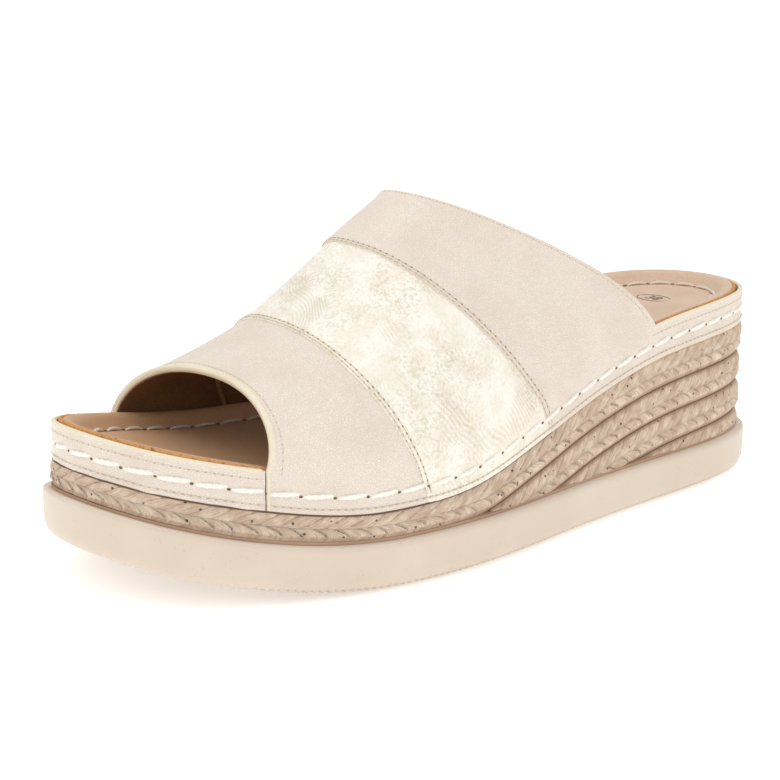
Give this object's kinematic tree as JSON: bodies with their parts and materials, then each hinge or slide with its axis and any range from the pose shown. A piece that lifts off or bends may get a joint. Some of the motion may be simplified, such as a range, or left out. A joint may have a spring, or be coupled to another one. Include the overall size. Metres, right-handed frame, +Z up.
{
  "type": "mule sandal",
  "caption": "Open-toe slip-on mule for the left foot: wide leather upper over a footbed on a wedge with a moulded plait side.",
  "frame": {"origin": "on the ground, under the middle of the shoe's box", "axes": "+Z up, toe towards -Y, outer side of the left foot towards +X"},
  "size_m": [0.0998, 0.262, 0.102],
  "materials": {
    "outsole": "smooth matt cream rubber",
    "wedge": "moulded taupe foam with a plait relief",
    "insole": "soft tan leather",
    "rand": "cream leather strip",
    "upper": "beige fine-grain leather with an off-white distressed middle panel"
  },
  "bodies": {
    "root": {"outsole": "outsole", "wedge": "wedge", "insole": "insole", "toe_rand": "rand", "upper": "upper"}
  },
  "joints": []
}
